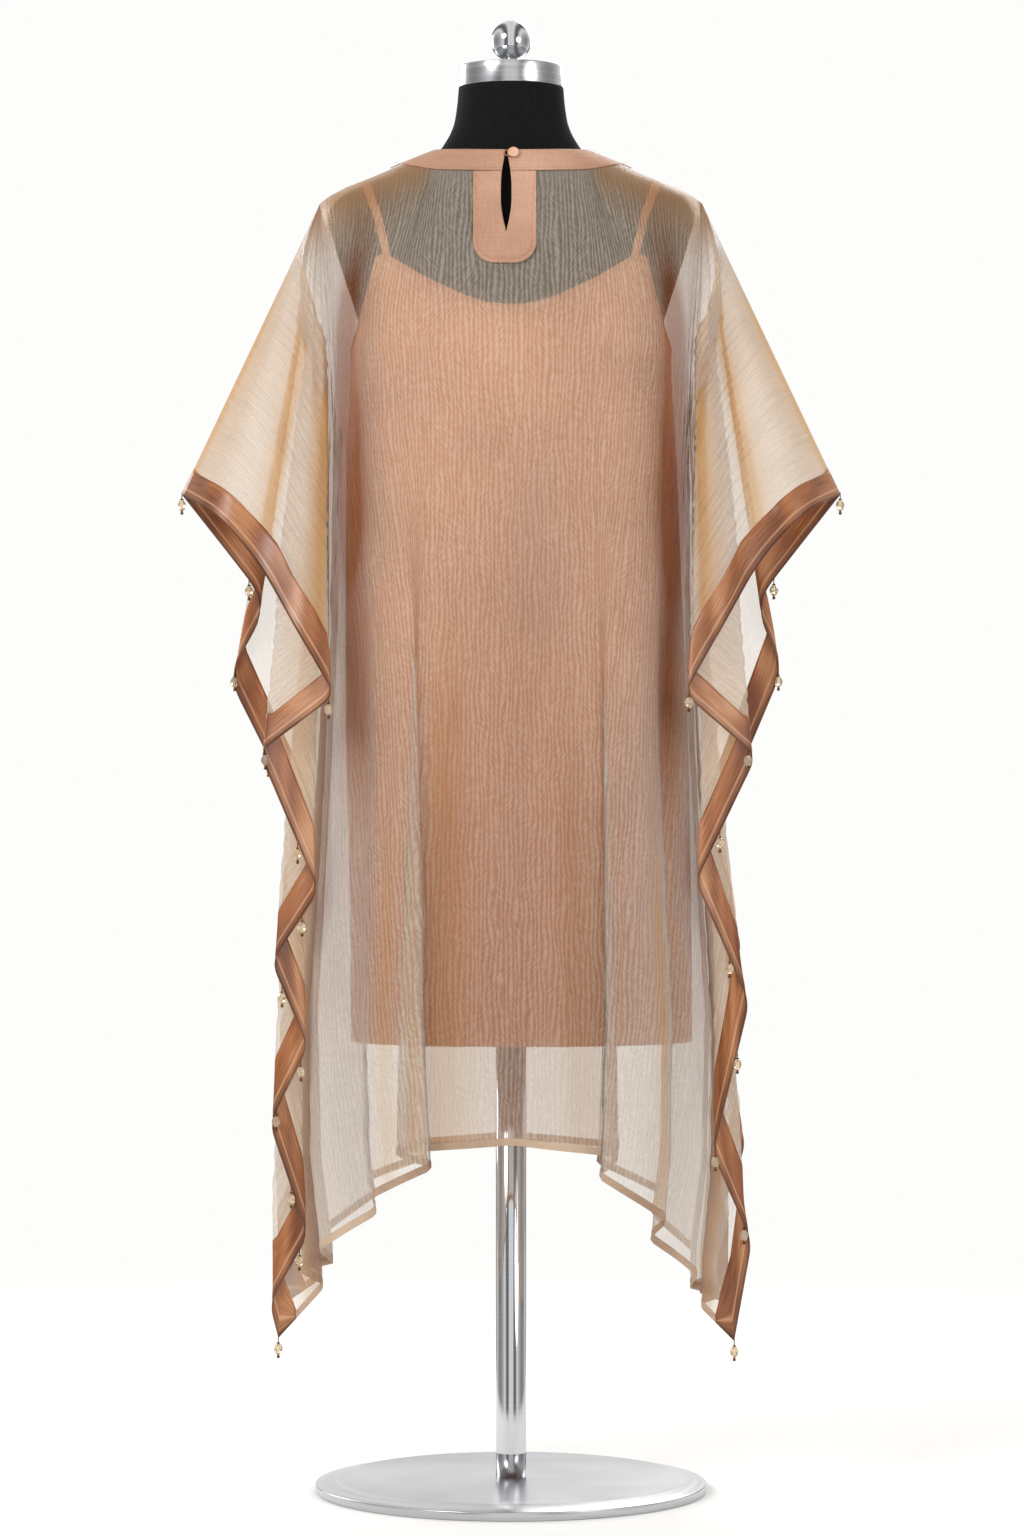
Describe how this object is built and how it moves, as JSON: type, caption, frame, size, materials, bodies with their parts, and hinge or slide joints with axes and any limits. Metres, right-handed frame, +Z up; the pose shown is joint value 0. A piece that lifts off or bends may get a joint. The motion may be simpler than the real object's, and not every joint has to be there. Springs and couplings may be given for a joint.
{
  "type": "kaftan on a dress form",
  "caption": "Wide sheer kaftan with satin borders and hanging beads over a strap slip lining, worn by a limbless dress form on a stand.",
  "frame": {"origin": "on the floor, at the middle of the stand's round base", "axes": "+Z up; the back of the garment faces -Y, the wearer's left arm is at -X and the front faces +Y"},
  "size_m": [0.6984, 0.41, 1.5425],
  "materials": {
    "sheer_cloth": "sheer crinkled tissue with a soft metallic sheen",
    "satin_border": "copper satin, glossy, with small clear beads along its edge",
    "hem_strip": "narrow turned hem",
    "facing_cloth": "peach cloth, matt",
    "lining_cloth": "peach satin-backed cloth, matt side out",
    "button": "dyed button",
    "loop_cord": "thin cord",
    "slider": "small coated metal ring",
    "form_cloth": "black jersey stretched over the form",
    "chrome": "bright plated metal"
  },
  "bodies": {
    "root": {"back_panel": "sheer_cloth", "front_panel": "sheer_cloth", "border_back_left": "satin_border", "border_back_right": "satin_border", "border_front_left": "satin_border", "border_front_right": "satin_border", "hem_back": "hem_strip", "hem_front": "hem_strip", "neck_facing_back_left": "facing_cloth", "neck_facing_back_right": "facing_cloth", "neck_facing_front": "facing_cloth", "keyhole_placket": "facing_cloth", "button": "button", "button_loop": "loop_cord", "lining_back": "lining_cloth", "lining_front": "lining_cloth", "strap_left": "lining_cloth", "slider_left": "slider", "strap_right": "lining_cloth", "slider_right": "slider", "form_body": "form_cloth", "form_neck_cap": "chrome", "form_finial": "chrome", "form_pole": "chrome", "form_base": "chrome"}
  },
  "joints": []
}
